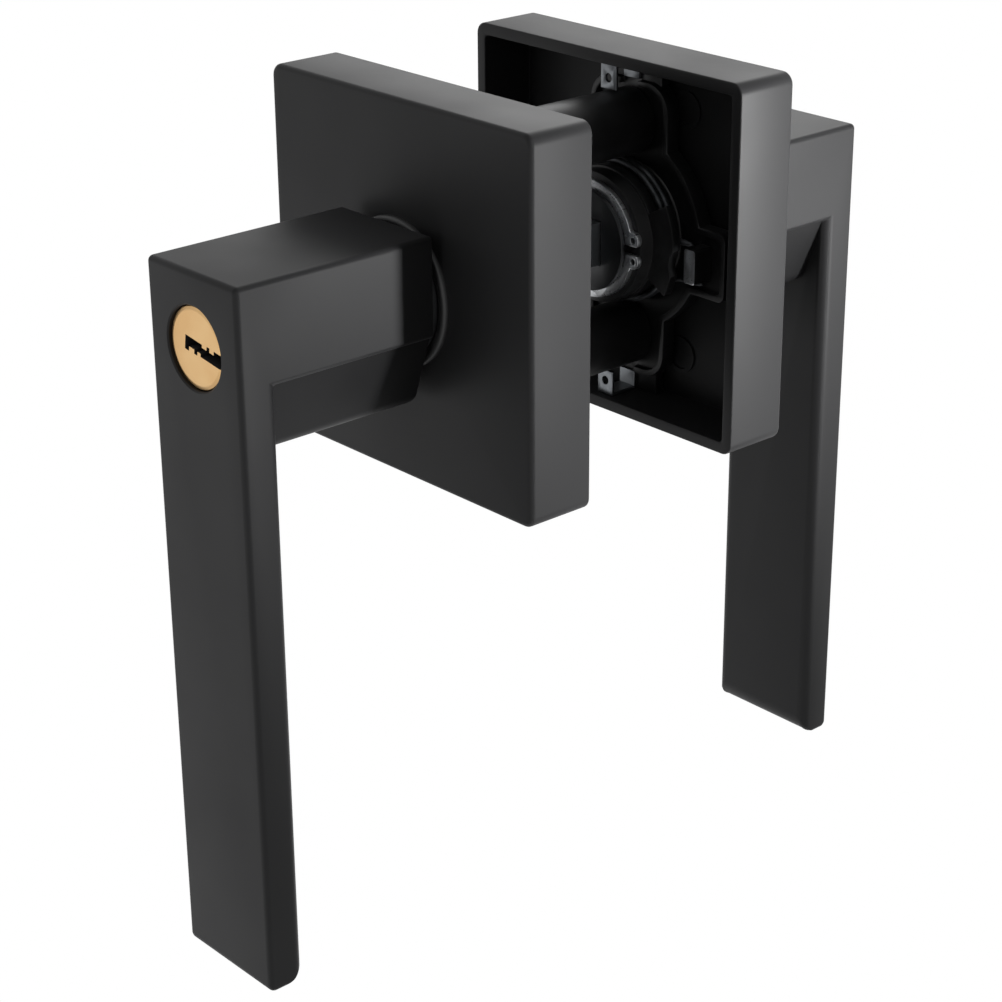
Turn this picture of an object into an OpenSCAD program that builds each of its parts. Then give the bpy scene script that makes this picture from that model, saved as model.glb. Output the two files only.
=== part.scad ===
/* [Door] */
// Thickness of the door leaf between the two roses
door_t = 34; // [32:1:44]

/* [Rose] */
// Width and height of each square rose
rose_w = 66.4; // [60:0.5:72]
// Depth of the rose from the door face to its front face
rose_t = 13; // [12.6:0.1:15]
// Corner radius of the rose seen from the front
rose_corner_r = 2.2; // [1.6:0.1:6]
// Rounding of the rose's front edges
rose_edge_r = 0.9; // [0.4:0.1:1.5]
// Thickness of the rose's side walls
rose_wall = 2.2; // [1.6:0.1:2.8]
// Thickness of the rose's front wall
rose_face = 2; // [1.6:0.1:2.4]
// Height of the round seat on the inner side of the front wall
rose_seat_h = 1.5; // [1:0.1:2]
// Wall of that round seat
rose_seat_wall = 4.4; // [2:0.1:4.6]

/* [Lever] */
// Width of the lever's neck and grip
lever_w = 24; // [23:0.1:26]
// Distance from the rose's face to the front of the lever
lever_reach = 41.8; // [38:0.1:48]
// Height of the top of the neck above the spindle axis
neck_top = 12.8; // [12:0.1:14]
// Depth of the bottom of the neck bar under the spindle axis
neck_bottom = 4.75; // [4:0.05:6]
// Free gap between the neck and the rose's face
neck_gap = 2.3; // [1.8:0.1:3]
// Thickness of the grip plate
grip_t = 7.3; // [6:0.1:9]
// Length of the lever from the top of the neck to the end of the grip
lever_len = 128; // [100:1:140]
// Radius of the grip's end corner on the side of the door
grip_heel_r = 4.5; // [2:0.5:5]
// Radius of the grip's end corner on the front
grip_toe_r = 1.6; // [0.8:0.1:3]
// Rounding of the grip's long edges on the side of the door
grip_back_r = 2; // [1:0.1:3]
// Rounding of the lever's front edges
lever_edge_r = 1; // [0.4:0.1:1.2]

/* [Cylinder housing] */
// Half width of the housing where it leaves the neck
keel_top_hw = 10.8; // [9.5:0.1:11.2]
// Half width of the housing along its bottom
keel_bottom_hw = 6.2; // [6:0.1:8]
// Wall of the housing under the key cylinder
keel_floor = 2.75; // [1.6:0.05:3]
// Radius of the housing's lower end next to the rose
keel_end_r = 2; // [0.6:0.1:3]
// Radius of the housing's bottom corners
keel_r = 2.6; // [1:0.1:3]

/* [Key cylinder] */
// Radius of the key plug
plug_r = 7; // [6.4:0.1:7.2]
// Recess of the plug's face behind the lever's front
plug_recess = 0.5; // [0.2:0.1:1.6]
// Chamfer of the plug's front edge
plug_chamfer = 0.4; // [0.1:0.1:0.8]
// Wall of the cylinder body around the plug
shell_wall = 1.65; // [1.4:0.05:1.8]
// Half width of the pin housing
bible_hw = 4.2; // [3.6:0.1:4.3]
// Depth of the pin housing under the spindle axis
bible_depth = 15.3; // [14.5:0.1:15.4]
// Height of the keyway
keyway_h = 2.3; // [2:0.1:2.6]
// Distance of the keyway's closed end from the axis
keyway_end = 3.4; // [2:0.1:3.5]
// Number of pin chambers
pin_count = 5; // [3:1:5]
// Distance between pin chambers
pin_pitch = 3.6; // [3.4:0.1:3.8]
// Radius of the pins
pin_r = 1.3; // [1:0.05:1.4]

/* [Bearing and drive] */
// Radius of the lever shank that turns in the bush
shank_r = 11.2; // [10.8:0.1:11.6]
// Width of the collar that the bush shows around the shank
bush_collar = 1.9; // [1.7:0.1:4]
// Height of that collar above the rose's face
bush_proud = 1; // [0.6:0.1:1.5]
// Wall of the bush inside the rose
bush_wall = 1.2; // [1:0.1:1.5]
// Radius of the shank's inner neck, which carries the cam and the snap ring
hub_r = 9.4; // [9:0.1:9.8]
// Reach of the hub past the door face into the door's bore
hub_reach = 4; // [3:0.5:8]
// Width of the square spindle across its flats
spindle_w = 8; // [7:0.1:8]
// Wall of the hollow spindle
spindle_wall = 1.1; // [0.8:0.1:1.2]
// Width of the flat bar inside the spindle
tail_w = 4.6; // [4:0.1:4.8]
// Thickness of that bar
tail_t = 1.6; // [1.2:0.1:2]
// Radius of the cam's lobes
cam_r = 17; // [16:0.1:17.2]
// Thickness of the cam plate
cam_t = 1.8; // [1.5:0.1:2]
// Wall of the cam's sleeve on the hub
cam_wall = 2.6; // [2:0.1:2.8]
// Half angle that the cam's lobes take up on each side
cam_half_angle = 29; // [24:1:30]
// Wire thickness of the return spring
spring_wire = 1.3; // [1:0.1:1.3]

/* [Mounting] */
// Radius of the mounting plate's round middle
plate_r = 18.4; // [17.8:0.1:19]
// Half width of the plate out to the ends of its lug pockets
plate_hw = 24.4; // [23:0.1:26]
// Thickness of the mounting plate
plate_t = 1.8; // [1.5:0.1:2.2]
// Height of the skirt that stiffens the plate
plate_skirt = 1.2; // [0.8:0.1:3]
// Thickness of that skirt
skirt_t = 1.2; // [1:0.1:1.5]
// Half width of the plate's lobes around the screw posts
lobe_hw = 9.7; // [8:0.1:11]
// Corner radius of those lobes
lobe_r = 5; // [3:0.5:6]
// Width of the clips that hold the rose on the plate
clip_w = 3.8; // [3:0.1:8]
// Thickness of their spring steel
clip_t = 0.6; // [0.4:0.1:0.8]
// Height of the tab that the clip turns up at the rim
clip_tab = 4.6; // [3:0.1:4.7]
// Distance of the screw posts from the spindle axis
post_z = 19.8; // [19.5:0.1:20.4]
// Radius of the screw posts
post_r = 6; // [5:0.1:6.1]
// Radius of the mounting screws
screw_r = 2; // [1.6:0.1:2.4]
// Length of thread that a screw holds in its post
screw_grip = 16; // [10:1:20]

/* [Turn button] */
// Radius of the turn button's disc
button_r = 8; // [7:0.1:9]
// Height of the disc above the lever's front
button_proud = 0.8; // [0.4:0.1:1]
// Height of the thumb bar above the disc
thumb_h = 4.6; // [3:0.1:5]
// Thickness of the thumb bar
thumb_t = 3; // [2.4:0.1:4]
// Radius of the button's stem
stem_r = 3.5; // [3.4:0.1:4]

/* [Clearances] */
// Radial running clearance of a shaft in its bore
run_gap = 0.07; // [0.04:0.01:0.1]
// Clearance between pieces that are assembled and stay put
fit_gap = 0.15; // [0.1:0.01:0.2]
// Free clearance between pieces that move past each other
free_gap = 0.3; // [0.25:0.05:0.4]

/* [Hidden] */
$fn = 64;
OUTSIDE = -1;
INSIDE = 1;
black = "#2b2b2c";
brass = "#d9b070";
steel = "#b9bcc0";
zinc = "#8d8f92";
dark = "#1d1d1e";

// Distances called "o" run outwards from the door face on either side
rose_inner = rose_t - rose_face;
plate_o = rose_inner - rose_seat_h;
plate_back = plate_o - plate_t;
bush_r = shank_r + run_gap + bush_wall;
seat_r = bush_r + fit_gap + rose_seat_wall;
neck_o = rose_t + neck_gap;
front_o = rose_t + lever_reach;
grip_o = front_o - grip_t;
grip_end = neck_top - lever_len;
free_len = lever_len - neck_top - neck_bottom;
keel_depth = bible_depth + fit_gap + keel_floor;

// Lever pocket and what sits in it
shell_r = plug_r + run_gap + shell_wall;
pocket_r = shell_r + fit_gap;
pocket_hw = bible_hw + fit_gap;
pocket_depth = bible_depth + fit_gap;
front_wall = 2.2;
pear_corner = 1;
shell_front = front_o - front_wall;
flange_t = 4;
flange_o = neck_o + flange_t;
flange_depth = bible_depth - 1.3;
grub_r = 1.2;
grub_recess = 0.3;
grub_hex_r = 0.6;
plug_face = front_o - plug_recess;
plug_tail_r = plug_r - 1.2;
plug_tail = 4.6;
plug_end = flange_o - plug_tail;
chamber_r = pin_r + 0.06;
first_pin = flange_o + 3.2;
cover_t = 0.8;
strip_hw = 2;
strip_end = 2;
strip_len = (pin_count - 1) * pin_pitch + 2 * strip_end;

// Axial layers inside the rose
cam_o = 1.2;
cam_top = cam_o + cam_t;
hub_top = plate_back - 1.2;
ring_t = 1.2;
ring_o = 1 - hub_reach;
groove_depth = 0.8;
ring_r = hub_r + 1.5;
ring_gap = 1.6;
eye_r = 1.5;
eye_z = 1.9;
eye_hole_r = 0.6;
key_flat = 0.9;
sleeve_r = hub_r + cam_wall;
bay_r_gap = 0.8;
bay_offset = 2.4;
web_top = 3;
bore_r = plug_tail_r + 1.6;
clip_bore_r = bore_r + 1;
mouth_r = clip_bore_r + 2;
spring_r = sleeve_r + spring_wire / 2 + free_gap;
spring_turns = 2;
lug_x = 17.5;
lug_w = 2.8;
lug_h = 6.4;
lug_z = -2.4;
lug_r = 0.6;
lug_o = cam_top + free_gap;

// Rose walls, posts, screws and clips
inner_hw = rose_w / 2 - rose_wall;
inner_corner_r = max(rose_corner_r - rose_wall, 0.8);
mark_x = 10.2;
mark_z = 22.8;
mark_r = 3.4;
mark_w = 0.7;
mark_h = 0.4;
post_end = plate_back - free_gap;
post_neck_r = 3.4;
head_r = screw_r * 2;
head_hex_r = 1.3;
lobe_end = post_z + post_r + skirt_t + free_gap;
ear_w = 14;
clip_z = inner_hw - fit_gap;
clip_foot = lobe_end + 0.1;
clip_o = 1.5;
clip_hole_r = 0.8;
pocket_hh = lug_h / 2 + spring_wire + 2 * free_gap + skirt_t;
pocket_corner_r = 1.6;

// Cylinder, tail bar and turn button
driver_len = 3.4;
driver_top = plug_r + run_gap;
tooth_h = 0.9;
tail_seat = 3;
tail_gap = 0.1;
clip_groove = 0.6;
stem_end = web_top + 1;
button_seat_o = front_o - 1.2;
button_web_o = button_seat_o - 2.6;

// Places a piece of one half: the outside half is the mirror image of the inside half
module on_side(side) {
    if (side == INSIDE) translate([0, door_t / 2, 0]) children();
    else mirror([0, 1, 0]) translate([0, door_t / 2, 0]) children();
}

// Extrudes an X-Z outline along Y from o0 to o1
module slab(o0, o1) {
    translate([0, o1, 0]) rotate([90, 0, 0]) linear_extrude(o1 - o0) children();
}

// A round bar along Y from o0 to o1
module bar(o0, o1, r) {
    slab(o0, o1) circle(r);
}

// A rectangle with its own radius at each corner: low-low, high-low, high-high, low-high
module soft_rect(lo, hi, r) {
    corners = [[lo[0], lo[1], 1, 1], [hi[0], lo[1], -1, 1], [hi[0], hi[1], -1, -1], [lo[0], hi[1], 1, -1]];
    difference() {
        translate(lo) square(hi - lo);
        for (i = [0:3])
            translate([corners[i][0], corners[i][1]])
                mirror([corners[i][2] < 0 ? 1 : 0, 0])
                    mirror([0, corners[i][3] < 0 ? 1 : 0])
                        corner_waste(r[i]);
    }
}

// What a round corner takes off a square one
module corner_waste(r) {
    difference() {
        translate([-1, -1]) square(r + 1);
        translate([r, r]) circle(r);
    }
}

// A wire of radius r along a list of points, with sides facets
function unit(v) = v / norm(v);
function wire_point(p, d, r, a, up) = let (s = unit(cross(d, up)), t = cross(s, d))
    p + r * (cos(a) * s + sin(a) * t);
module wire(path, r, sides, up) {
    last = len(path) - 1;
    ways = [for (i = [0:last]) unit(path[min(i + 1, last)] - path[max(i - 1, 0)])];
    points = [for (i = [0:last], j = [0:sides - 1]) wire_point(path[i], ways[i], r, 360 * j / sides, up)];
    rings = [for (i = [0:last - 1], j = [0:sides - 1], half = [0, 1]) let (k = (j + 1) % sides)
        half == 0 ? [i * sides + j, i * sides + k, (i + 1) * sides + k]
                  : [i * sides + j, (i + 1) * sides + k, (i + 1) * sides + j]];
    caps = [[for (j = [sides - 1:-1:0]) j], [for (j = [0:sides - 1]) last * sides + j]];
    polyhedron(points, concat(rings, caps), convexity = 8);
}

// Rose cover: a square dished shell with a round seat for the mounting plate
module rose_cover(side) {
    color(black) on_side(side) difference() {
        hull() {
            for (x = [-1, 1], z = [-1, 1])
                translate([x, 0, z] * (rose_w / 2 - rose_corner_r))
                    rotate([-90, 0, 0]) rose_corner();
        }
        difference() {
            slab(-1, rose_inner)
                soft_rect([-inner_hw, -inner_hw], [inner_hw, inner_hw], [1, 1, 1, 1] * inner_corner_r);
            bar(plate_o, rose_inner + 1, seat_r);
            floor_marks();
        }
        bar(0, rose_t + 1, bush_r + fit_gap);
    }
}

// Rings that the mould's ejector pins leave on the inner side of the front wall
module floor_marks() {
    for (x = [-1, 1], z = [-1, 1]) translate([x * mark_x, 0, z * mark_z])
        slab(rose_inner - mark_h, rose_inner + 1) difference() {
            circle(mark_r, $fn = 32);
            circle(mark_r - mark_w, $fn = 32);
        }
}

// One corner post of the rose, with its front edge rounded
module rose_corner() {
    rotate_extrude($fn = 48) difference() {
        square([rose_corner_r, rose_t]);
        translate([rose_corner_r - rose_edge_r, rose_t - rose_edge_r]) difference() {
            square(rose_edge_r + 1);
            circle(rose_edge_r, $fn = 24);
        }
    }
}

// X-Z outline of the mounting plate, smaller by inset all round: a round middle,
// a lobe at each screw post and a pocket at each side for the stop lug
module plate_outline(inset) {
    circle(plate_r - inset);
    soft_rect(
        [-lobe_hw + inset, -lobe_end + inset], [lobe_hw - inset, lobe_end - inset],
        [1, 1, 1, 1] * (lobe_r - inset)
    );
    soft_rect(
        [-plate_hw + inset, lug_z - pocket_hh + inset], [plate_hw - inset, lug_z + pocket_hh - inset],
        [1, 1, 1, 1] * (pocket_corner_r - inset / 2)
    );
}

// Mounting plate: a cast plate with a skirt, and two ears for the cover's clips
module mounting_plate(side) {
    color(dark) on_side(side) difference() {
        union() {
            slab(plate_back, plate_o) union() {
                plate_outline(0);
                square([ear_w, 2 * clip_z], center = true);
            }
            slab(plate_back - plate_skirt, plate_back + 0.5) difference() {
                plate_outline(0);
                plate_outline(skirt_t);
                // Way for the clips' feet, where a small rose brings them close to the lobes
                square([clip_w + 2 * free_gap, 4 * clip_z], center = true);
            }
        }
        bar(0, rose_t, bush_r + fit_gap);
        for (z = [-1, 1]) translate([0, 0, z * post_z]) {
            if (side == OUTSIDE) bar(0, rose_t, post_neck_r + 0.02);
            else {
                bar(0, rose_t, screw_r + fit_gap);
                screw_head(fit_gap);
            }
        }
    }
}

// Countersunk head of a mounting screw, larger by gap all round
module screw_head(gap) {
    translate([0, plate_o, 0]) rotate([90, 0, 0])
        cylinder(h = plate_t - 0.2, r1 = head_r + gap, r2 = screw_r + gap);
}

// Bush: lines the rose's hole and shows a thin collar around the shank
module bush(side) {
    color(dark) on_side(side) difference() {
        union() {
            bar(plate_back, rose_t, bush_r);
            bar(rose_t, rose_t + bush_proud, shank_r + bush_collar);
        }
        bar(0, rose_t + 2, shank_r + run_gap);
    }
}

// Spring steel clips that hold the cover to the plate's ears, top and bottom. Each is a bent strip:
// a foot on the ear, a leg along the rose's wall and a tab with a hole, turned up at the rim.
module cover_clips(side) {
    color(steel) on_side(side) for (z = [0, 1]) mirror([0, 0, z]) difference() {
        translate([-clip_w / 2, 0, 0]) rotate([90, 0, 90]) linear_extrude(clip_w) polygon([
            [plate_back, clip_foot], [plate_back, clip_z], [clip_o, clip_z],
            [clip_o, clip_z - clip_tab], [clip_o + clip_t, clip_z - clip_tab],
            [clip_o + clip_t, clip_z - clip_t], [plate_back - clip_t, clip_z - clip_t],
            [plate_back - clip_t, clip_foot]
        ]);
        translate([0, 0, clip_z - clip_tab / 2 - clip_t / 2]) bar(0, plate_o / 2, clip_hole_r, $fn = 24);
    }
}

// Steel lugs at the sides of the plate that the spring and the cam stop against
module stop_lugs(side) {
    color(steel) on_side(side) for (x = [0, 1]) mirror([x, 0, 0])
        slab(lug_o, plate_back) soft_rect(
            [lug_x, lug_z - lug_h / 2],
            [lug_x + lug_w, lug_z + lug_h / 2],
            [1, 1, 1, 1] * lug_r
        );
}

// Return spring: a torsion spring around the cam's sleeve. Its two legs clasp the lug at +X,
// and the cam's bay pushes one of them away from the lug when the lever turns.
module return_spring(side) {
    low = lug_o + spring_wire / 2;
    high = plate_back - free_gap - spring_wire / 2;
    leg_top = lug_z + lug_h / 2 + spring_wire / 2 + 0.1;
    leg_bottom = lug_z - lug_h / 2 - spring_wire / 2 - 0.1;
    leg_x = lug_x + lug_w - 0.5;
    from = asin(leg_top / spring_r) + 4;
    to = 360 * spring_turns + asin(leg_bottom / spring_r) - 4;
    steps = 44;
    coil = [for (i = [0:steps]) let (a = from + (to - from) * i / steps)
        [spring_r * cos(a), low + (high - low) * i / steps, spring_r * sin(a)]];
    color(steel) on_side(side) wire(
        concat(
            [[leg_x, low, leg_top], [spring_r + 1, low, leg_top], [spring_r + 0.2, low, leg_top + 0.3]],
            coil,
            [
                [spring_r + 0.2, high, leg_bottom - 0.3], [spring_r + 1, high, leg_bottom],
                [leg_x, high, leg_bottom]
            ]
        ),
        spring_wire / 2, 8, [0, 1, 0]
    );
}

// Posts that run from the outside plate through the door to the inside plate
module screw_posts() {
    start = -(door_t / 2 + plate_back);
    end = door_t / 2 + post_end;
    color(dark) for (z = [-1, 1]) translate([0, 0, z * post_z]) difference() {
        union() {
            bar(start, end, post_r);
            bar(start - plate_t, start, post_neck_r);
        }
        bar(end - screw_grip - 2, end + 1, screw_r + 0.03);
    }
}

// Mounting screws from the inside plate into the posts
module mounting_screws() {
    color(steel) on_side(INSIDE) for (z = [-1, 1]) translate([0, 0, z * post_z]) difference() {
        union() {
            screw_head(0);
            bar(post_end - screw_grip, plate_back + 0.5, screw_r);
        }
        bar(plate_o - 1, plate_o + 1, head_hex_r, $fn = 6);
    }
}

// Side view of the lever: neck and grip, as a Y-Z outline
module lever_side() {
    difference() {
        soft_rect([neck_o, grip_end], [front_o, neck_top], [0, grip_toe_r, lever_edge_r, 0.4]);
        translate([neck_o - 1, grip_end - 1]) square([grip_o - neck_o + 1, free_len + 1]);
        translate([grip_o, grip_end]) corner_waste(grip_heel_r);
    }
}

// Housing under the neck, as an X-Z outline with rounded bottom corners
module keel_outline() {
    slope = atan2(keel_depth - neck_bottom, keel_top_hw - keel_bottom_hw);
    centre = [keel_bottom_hw - keel_r * tan(slope / 2), keel_r - keel_depth];
    arc = [for (i = [0:8]) let (a = -90 + slope * i / 8) centre + keel_r * [cos(a), sin(a)]];
    right = concat(arc, [[keel_top_hw, -neck_bottom], [keel_top_hw, 0]]);
    polygon(concat(right, [for (i = [len(right) - 1:-1:0]) [-right[i][0], right[i][1]]]));
}

// Housing under the neck: its outline, cut to a side view that is rounded at the rose's end
module keel() {
    intersection() {
        slab(neck_o, grip_o + 1) keel_outline();
        translate([-lever_w, 0, 0]) rotate([90, 0, 90]) linear_extrude(2 * lever_w)
            soft_rect([neck_o, -keel_depth], [grip_o + 2, 1], [keel_end_r, 0, 0, 0]);
    }
}

// Pear-shaped outline of the pocket: a circle with a slot below it
module pear(r, hw, depth, corner) {
    circle(r);
    soft_rect([-hw, -depth], [hw, 0], [corner, corner, 0, 0]);
}

// Lever: one casting with the neck, the grip and the cylinder housing
module lever_casting() {
    difference() {
        union() {
            difference() {
                lever_blank();
                for (x = [0, 1]) mirror([x, 0, 0]) translate([-lever_w / 2, grip_o, grip_end - 1])
                    linear_extrude(free_len + 1) corner_waste(grip_back_r);
            }
            keel();
        }
        for (x = [0, 1]) mirror([x, 0, 0]) translate([-lever_w / 2, front_o, grip_end - 1])
            linear_extrude(lever_len + 2) mirror([0, 1]) corner_waste(lever_edge_r);
        // Mouth for the shank's flange, and the hole of its grub screw
        slab(neck_o - 1, flange_o) pear(mouth_r, pocket_hw, pocket_depth, pear_corner);
        translate([0, neck_o + flange_t / 2, -keel_depth - 1]) cylinder(h = 5, r = grub_r + 0.03);
    }
}

// Neck and grip where their side view and their front view meet
module lever_blank() {
    intersection() {
        translate([-lever_w / 2, 0, 0]) rotate([90, 0, 90]) linear_extrude(lever_w) lever_side();
        slab(neck_o - 1, front_o + 1) soft_rect(
            [-lever_w / 2, grip_end], [lever_w / 2, neck_top],
            [1, 1, lever_edge_r, lever_edge_r]
        );
    }
}

module outside_lever() {
    color(black) on_side(OUTSIDE) difference() {
        lever_casting();
        slab(neck_o, shell_front) pear(pocket_r, pocket_hw, pocket_depth, pear_corner);
        bar(shell_front - 1, front_o + 1, plug_r + run_gap + 0.05);
    }
}

module inside_lever() {
    color(black) on_side(INSIDE) difference() {
        lever_casting();
        bar(neck_o, button_web_o, pocket_r);
        bar(button_web_o - 1, front_o + 1, stem_r + run_gap);
        bar(button_seat_o, front_o + 1, button_r + free_gap);
    }
}

// Shank: turns in the bush, carries the cam and grips the spindle
module shank(side) {
    color(zinc) on_side(side) difference() {
        union() {
            bar(hub_top, neck_o, shank_r);
            bar(-hub_reach, flange_o, hub_r);
            slab(neck_o, flange_o) pear(
                mouth_r - fit_gap, pocket_hw - fit_gap, flange_depth, pear_corner
            );
        }
        bar(web_top, flange_o + 1, bore_r);
        bar(neck_o - 2, flange_o + 1, clip_bore_r);
        slab(-hub_reach - 1, web_top + 1) square(spindle_w + 2 * run_gap, center = true);
        // Groove for the snap ring
        difference() {
            bar(ring_o, ring_o + ring_t, hub_r + 1);
            bar(ring_o - 1, ring_o + ring_t + 1, hub_r - groove_depth);
        }
        // Flats that drive the cam
        cam_key(0, ring_o + ring_t / 2);
    }
}

// Two flats on the hub drive the cam; they are cut from the hub and left in the cam
module cam_key(gap, start) {
    for (x = [-1, 1]) translate([x * (hub_r - key_flat + gap + 2), 0, 0])
        slab(start, hub_top - 0.5) square([4, 2 * cam_r], center = true);
}

// X-Z outline of the cam: two lobes on each side of the hub with a bay for the lug
module cam_outline() {
    difference() {
        union() {
            circle(sleeve_r + 0.4);
            intersection() {
                circle(cam_r);
                for (s = [0, 180]) rotate(s) polygon([
                    [0, 0],
                    2 * cam_r * [cos(cam_half_angle), sin(cam_half_angle)],
                    [2 * cam_r, 0],
                    2 * cam_r * [cos(cam_half_angle), -sin(cam_half_angle)]
                ]);
            }
        }
        for (s = [0, 1]) mirror([s, 0])
            translate([lug_x + bay_offset, lug_z]) circle(lug_h / 2 + bay_r_gap);
    }
}

// Cam: driven by the hub's flats, it winds the spring
module cam(side) {
    color(dark) on_side(side) difference() {
        union() {
            slab(cam_o, cam_top) cam_outline();
            bar(ring_o + ring_t, hub_top - 0.1, sleeve_r);
        }
        difference() {
            bar(-hub_reach - 1, hub_top + 1, hub_r + 0.05);
            cam_key(0.05, -hub_reach);
        }
    }
}

// Snap ring: an open steel ring in the hub's groove, with its two eyes at the side
module snap_ring(side) {
    inner_r = hub_r - groove_depth + 0.05;
    color(steel) on_side(side) slab(ring_o + 0.05, ring_o + ring_t - 0.05) difference() {
        union() {
            circle(ring_r);
            for (z = [-1, 1]) translate([ring_r, z * eye_z]) circle(eye_r);
        }
        circle(inner_r);
        translate([0, -ring_gap / 2]) square([2 * ring_r, ring_gap]);
        for (z = [-1, 1]) translate([ring_r + 0.2, z * eye_z]) circle(eye_hole_r);
    }
}

// Grub screw that holds the lever on its shank, from below
module grub_screw(side) {
    color(steel) on_side(side) translate([0, neck_o + flange_t / 2, grub_recess - keel_depth]) difference() {
        cylinder(h = keel_depth - grub_recess - flange_depth, r = grub_r);
        translate([0, 0, -1]) cylinder(h = 2, r = grub_hex_r, $fn = 6);
    }
}

// Hollow square spindle that joins the two shanks and works the latch
module square_spindle() {
    end = door_t / 2 + web_top;
    color(steel) slab(-end, end) difference() {
        square(spindle_w, center = true);
        square(spindle_w - 2 * spindle_wall, center = true);
    }
}

function pin_o(i) = first_pin + i * pin_pitch;
module at_pins() {
    for (i = [0:pin_count - 1]) translate([0, pin_o(i), 0]) children();
}

// Body of the key cylinder: a tube for the plug with the pin housing below it
module cylinder_body() {
    color(brass) on_side(OUTSIDE) difference() {
        slab(flange_o, shell_front) pear(shell_r, bible_hw, bible_depth, 0.8);
        bar(flange_o - 1, shell_front + 1, plug_r + run_gap);
        at_pins() translate([0, 0, -bible_depth - 1]) cylinder(h = bible_depth, r = chamber_r);
        translate([-strip_hw, pin_o(0) - strip_end, -bible_depth - 1])
            cube([2 * strip_hw, strip_len, cover_t + 1]);
    }
}

// Strip that closes the pin chambers
module chamber_cover() {
    gap = 0.05;
    color(brass) on_side(OUTSIDE) translate([gap - strip_hw, pin_o(0) - strip_end + gap, -bible_depth])
        cube([2 * (strip_hw - gap), strip_len - 2 * gap, cover_t]);
}

// Pins in the body, held against the plug
module driver_pins() {
    color(steel) on_side(OUTSIDE) at_pins()
        translate([0, 0, -driver_top - driver_len]) cylinder(h = driver_len, r = pin_r);
}

// Coil springs under the driver pins
module pin_springs() {
    low = -bible_depth + cover_t + 0.2;
    high = -driver_top - driver_len - 0.2;
    turns = 3;
    steps = 24;
    color(steel) on_side(OUTSIDE) at_pins() wire(
        [for (i = [0:steps]) let (a = 360 * turns * i / steps)
            [(pin_r - 0.25) * cos(a), (pin_r - 0.25) * sin(a), low + (high - low) * i / steps]],
        0.2, 5, [0, 0, 1]
    );
}

// X-Z outline of the keyway: a slot that is open at the plug's edge, with wards that leave teeth
// on its lower side near the closed end and on its upper side near the open one
module keyway() {
    h = keyway_h / 2;
    ward = keyway_h / 5;
    rotate(-8.5) polygon([
        [-keyway_end, h], [-keyway_end, -h - ward], [-keyway_end + ward, -h - ward],
        [-keyway_end + ward, -h + ward], [-keyway_end + 3 * ward, -h + ward],
        [-keyway_end + 3 * ward, -h - ward], [-keyway_end + 5 * ward, -h - ward],
        [-keyway_end + 6 * ward, -h + ward], [-keyway_end + 7 * ward, -h],
        [2 * plug_r, -h], [2 * plug_r, h],
        [keyway_end + ward, h], [keyway_end, h - ward], [keyway_end - 2 * ward, h - ward],
        [keyway_end - 2 * ward, h + ward], [keyway_end - 4 * ward, h + ward],
        [keyway_end - 4 * ward, h - ward], [0, h - ward], [-ward, h]
    ]);
}

// Key plug: turns in the body, with the keyway through it and a chamber for each pin
module key_plug() {
    color(brass) on_side(OUTSIDE) difference() {
        union() {
            bar(flange_o, plug_face - plug_chamfer, plug_r);
            translate([0, plug_face, 0]) rotate([90, 0, 0])
                cylinder(h = plug_chamfer, r1 = plug_r - plug_chamfer, r2 = plug_r);
            bar(plug_end, flange_o, plug_tail_r);
        }
        slab(flange_o + 1, plug_face + 1) keyway();
        at_pins() translate([0, 0, -plug_r - 1]) cylinder(h = plug_r + 1, r = chamber_r);
        // Slot for the tail bar and groove for the clip
        tail_slot(plug_end - 1, plug_end + tail_seat);
        difference() {
            bar(flange_o - 1.3, flange_o - 0.3, plug_r);
            bar(flange_o - 2, flange_o, plug_tail_r - clip_groove);
        }
    }
}

// Slot that the tail bar enters, from o0 to o1
module tail_slot(o0, o1) {
    slab(o0, o1) square([tail_t + 2 * tail_gap, tail_w + 2 * tail_gap], center = true);
}

// Pins in the plug, level with its surface
module key_pins() {
    edge = sqrt(pow(plug_r, 2) - pow(pin_r, 2)) - 0.02;
    color(brass) on_side(OUTSIDE) at_pins() translate([0, 0, -edge]) intersection() {
        cylinder(h = edge - keyway_h / 2 - 1.2, r = pin_r);
        union() {
            cylinder(h = edge - keyway_h / 2 - 2.2, r = pin_r);
            translate([0, 0, edge - keyway_h / 2 - 2.2]) cylinder(h = 1, r1 = pin_r, r2 = 0.4);
        }
    }
}

// Ring that keeps the plug in its body
module plug_clip() {
    color(steel) on_side(OUTSIDE) slab(flange_o - 1.25, flange_o - 0.35) difference() {
        circle(clip_bore_r - 0.4);
        circle(plug_tail_r - clip_groove + 0.05);
        translate([0, -1]) square([2 * shank_r, 2]);
    }
}

// Flat bar that carries the turn from the plug to the turn button
module tail_bar() {
    start = -(door_t / 2 + plug_end + tail_seat - 0.2);
    end = door_t / 2 + stem_end + 2 * tail_seat;
    color(steel) translate([-tail_t / 2, start, -tail_w / 2]) cube([tail_t, end - start, tail_w]);
}

// Turn button: a disc with a thumb bar, on a stem that takes the tail bar
module turn_button() {
    thumb_hl = button_r - 1;
    color(black) on_side(INSIDE) difference() {
        union() {
            bar(button_seat_o + 0.1, front_o + button_proud, button_r);
            bar(stem_end, button_seat_o + 0.5, stem_r);
            slab(front_o + button_proud - 0.5, front_o + button_proud + thumb_h) soft_rect(
                [-thumb_t / 2, -thumb_hl], [thumb_t / 2, thumb_hl], [1, 1, 1, 1] * (thumb_t / 2 - 0.01)
            );
        }
        tail_slot(stem_end - 1, stem_end + 2 * tail_seat + 0.4);
        difference() {
            bar(button_web_o - 1.4, button_web_o - 0.3, stem_r + 1);
            bar(button_web_o - 2, button_web_o, stem_r - clip_groove);
        }
    }
}

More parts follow.
